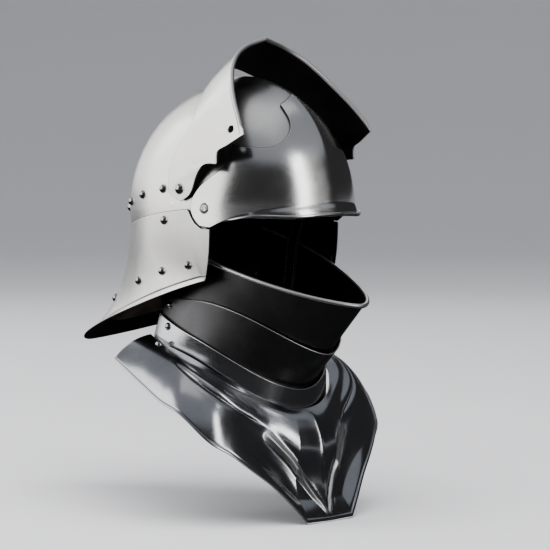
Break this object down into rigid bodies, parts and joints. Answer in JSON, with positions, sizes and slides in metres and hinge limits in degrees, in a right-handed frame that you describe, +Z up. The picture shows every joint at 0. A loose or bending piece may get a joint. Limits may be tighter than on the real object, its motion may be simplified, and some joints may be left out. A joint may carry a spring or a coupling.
{
  "type": "knight helmet",
  "caption": "Late Gothic sallet with a raised visor, a swept tail lame, a riveted lining and chin strap, above a laminated bevor whose gorget plate comes to a fluted point.",
  "frame": {"origin": "middle of the neck opening of the collar lame, on the plane of symmetry, with the helmet upright as worn", "axes": "+X towards the wearer's left, -Y the way the helmet faces, +Z up"},
  "size_m": [0.302, 0.445, 0.5302],
  "materials": {
    "satin_steel": "satin",
    "polished_steel": "mirror polished",
    "dark_steel": "fine satin",
    "rivet_steel": "polished",
    "black_leather": "waxed",
    "brown_leather": "matt",
    "linen": "quilted"
  },
  "bodies": {
    "bevor": {"bevor_main_plate": "dark_steel", "collar_rivet_left": "rivet_steel", "collar_rivet_right": "rivet_steel", "neck_buckle_frame": "rivet_steel", "neck_buckle_prong": "rivet_steel", "neck_strap_left": "black_leather", "neck_strap_right": "black_leather", "upper_lame_rivet_left": "rivet_steel", "upper_lame_rivet_right": "rivet_steel"},
    "upper_lame": {"bevor_upper_lame": "dark_steel"},
    "collar": {"collar_lame": "polished_steel", "gorget_rivet_left": "rivet_steel", "gorget_rivet_right": "rivet_steel"},
    "gorget": {"gorget_plate": "polished_steel"},
    "skull": {"brow_plate": "polished_steel", "brow_screw_left": "rivet_steel", "brow_screw_right": "rivet_steel", "chin_buckle_frame": "rivet_steel", "chin_buckle_prong": "rivet_steel", "chin_strap_left": "black_leather", "chin_strap_right": "black_leather", "chin_strap_rivet_left": "rivet_steel", "chin_strap_rivet_right": "rivet_steel", "crown_pad": "linen", "padded_liner": "linen", "skull_lining_band": "brown_leather", "skull_lining_rivet_1_left": "rivet_steel", "skull_lining_rivet_1_right": "rivet_steel", "skull_lining_rivet_2_left": "rivet_steel", "skull_lining_rivet_2_right": "rivet_steel", "skull_lining_rivet_3_left": "rivet_steel", "skull_lining_rivet_3_right": "rivet_steel", "skull_lining_rivet_4_left": "rivet_steel", "skull_lining_rivet_4_right": "rivet_steel", "skull_lining_rivet_5_left": "rivet_steel", "skull_lining_rivet_5_right": "rivet_steel", "skull_shell": "satin_steel", "tail_pivot_left": "rivet_steel", "tail_pivot_right": "rivet_steel", "visor_pivot_left": "rivet_steel", "visor_pivot_right": "rivet_steel", "visor_spacer_left": "brown_leather", "visor_spacer_right": "brown_leather"},
    "tail": {"tail_lame": "satin_steel", "tail_lining_rivet_1_left": "rivet_steel", "tail_lining_rivet_1_right": "rivet_steel", "tail_lining_rivet_2_left": "rivet_steel", "tail_lining_rivet_2_right": "rivet_steel", "tail_lining_rivet_3_left": "rivet_steel", "tail_lining_rivet_3_right": "rivet_steel", "tail_lining_rivet_4_left": "rivet_steel", "tail_lining_rivet_4_right": "rivet_steel", "tail_lining_strip": "brown_leather"},
    "visor": {"visor": "satin_steel"}
  },
  "joints": [
    {"name": "upper_lame_tilt", "type": "hinge", "parent": "bevor", "child": "upper_lame", "pos_m": [0, 0.03457, 0.07263], "axis": [1, 0, 0], "range_deg": [-4, 0]},
    {"name": "collar_tilt", "type": "hinge", "parent": "bevor", "child": "collar", "pos_m": [0, 0.03226, 0.04933], "axis": [1, 0, 0], "range_deg": [-3, 0]},
    {"name": "gorget_tilt", "type": "hinge", "parent": "collar", "child": "gorget", "pos_m": [0, 0.03513, 0.0305], "axis": [1, 0, 0], "range_deg": [-3, 0]},
    {"name": "sallet_lift", "type": "slide", "parent": "bevor", "child": "skull", "axis": [0, 0, 1], "range_m": [0, 0.3]},
    {"name": "tail_tilt", "type": "hinge", "parent": "skull", "child": "tail", "pos_m": [0, 0.01948, 0.1695], "axis": [1, 0, 0], "range_deg": [0, 9]},
    {"name": "visor_pivot", "type": "hinge", "parent": "skull", "child": "visor", "pos_m": [0, -0.008, 0.205], "axis": [1, 0, 0], "range_deg": [0, 97]}
  ]
}
